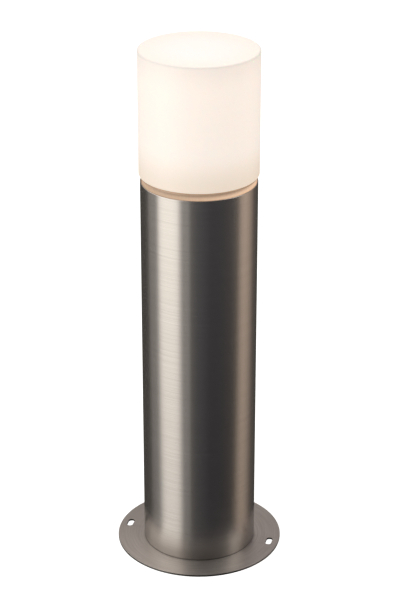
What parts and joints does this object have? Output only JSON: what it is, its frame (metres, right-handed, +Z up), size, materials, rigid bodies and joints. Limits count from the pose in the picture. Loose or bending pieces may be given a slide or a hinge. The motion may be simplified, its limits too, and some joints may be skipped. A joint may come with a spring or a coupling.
{
  "type": "bollard light",
  "caption": "Round stainless steel bollard light: slim post on a flange plate, recessed neck and a lift-off cylindrical opal diffuser over a sealed lamp head.",
  "frame": {"origin": "centre of the flange plate's underside, on the ground", "axes": "+Z up along the post; X through the two ground slots, with the cable gland on the -X side"},
  "size_m": [0.192, 0.192, 0.6],
  "materials": {
    "brushed_tube": "round the post, fine satin brushing",
    "satin_plate": "satin brushed flange plate, cut edge slightly darker",
    "weld_metal": "plain weld bead",
    "zinc_steel": "zinc plated",
    "cast_aluminium": "turned and bead blasted casting",
    "opal": "satin opal, lets light through",
    "lamp_opal": "frosted opal",
    "white_enamel": "matt white enamel",
    "porcelain": "glazed white",
    "white_plastic": "fine matt",
    "grey_plastic": "moulded, fine texture",
    "block_plastic": "moulded, slightly translucent",
    "black_glass": "smooth black insulator",
    "nickel": "nickel plated",
    "brass": "bright brass",
    "silicone": "translucent beige silicone",
    "black_rubber": "matt black",
    "board": "white coated board",
    "brown_wire": "flexible insulation",
    "blue_wire": "flexible insulation",
    "green_wire": "flexible insulation, green with a yellow stripe"
  },
  "bodies": {
    "pole": {"base_plate": "satin_plate", "bracket_screw_1": "zinc_steel", "bracket_screw_2": "zinc_steel", "casting_seal": "black_rubber", "earth_lug": "nickel", "earth_screw": "brass", "earth_washer": "zinc_steel", "foot_weld": "weld_metal", "gland_body": "grey_plastic", "gland_dome_nut": "grey_plastic", "gland_locknut": "grey_plastic", "gland_seal": "black_rubber", "head_casting": "cast_aluminium", "head_screw_1": "zinc_steel", "head_screw_2": "zinc_steel", "head_screw_3": "zinc_steel", "holder_screw_1": "zinc_steel", "holder_screw_2": "zinc_steel", "lampholder_body": "porcelain", "lampholder_bracket": "zinc_steel", "lampholder_contact": "brass", "lampholder_shell": "nickel", "lead_earth": "green_wire", "lead_live": "brown_wire", "lead_neutral": "blue_wire", "neck_seal": "silicone", "pole_tube": "brushed_tube", "reflector_plate": "white_enamel", "reflector_screw_1": "zinc_steel", "reflector_screw_2": "zinc_steel", "reflector_screw_3": "zinc_steel", "rim_gasket": "silicone", "ring_weld": "weld_metal", "spigot_o_ring": "black_rubber", "support_ring": "zinc_steel", "terminal_block": "block_plastic", "terminal_fixing_screw": "zinc_steel", "terminal_insert_1": "brass", "terminal_insert_2": "brass", "terminal_insert_3": "brass", "terminal_screw_1": "zinc_steel", "terminal_screw_2": "zinc_steel", "terminal_screw_3": "zinc_steel", "terminal_screw_4": "zinc_steel", "terminal_screw_5": "zinc_steel", "terminal_screw_6": "zinc_steel"},
    "diffuser": {"diffuser": "opal"},
    "lamp": {"lamp_contact": "nickel", "lamp_insulator": "black_glass", "lamp_cap": "nickel", "lamp_housing": "white_plastic", "lamp_led_board": "board", "lamp_globe": "lamp_opal"}
  },
  "joints": [
    {"name": "diffuser_lift", "type": "slide", "parent": "pole", "child": "diffuser", "axis": [0, 0, 1], "range_m": [0, 0.13]},
    {"name": "lamp_removal", "type": "slide", "parent": "pole", "child": "lamp", "axis": [0, 0, 1], "range_m": [0, 0.02]}
  ]
}
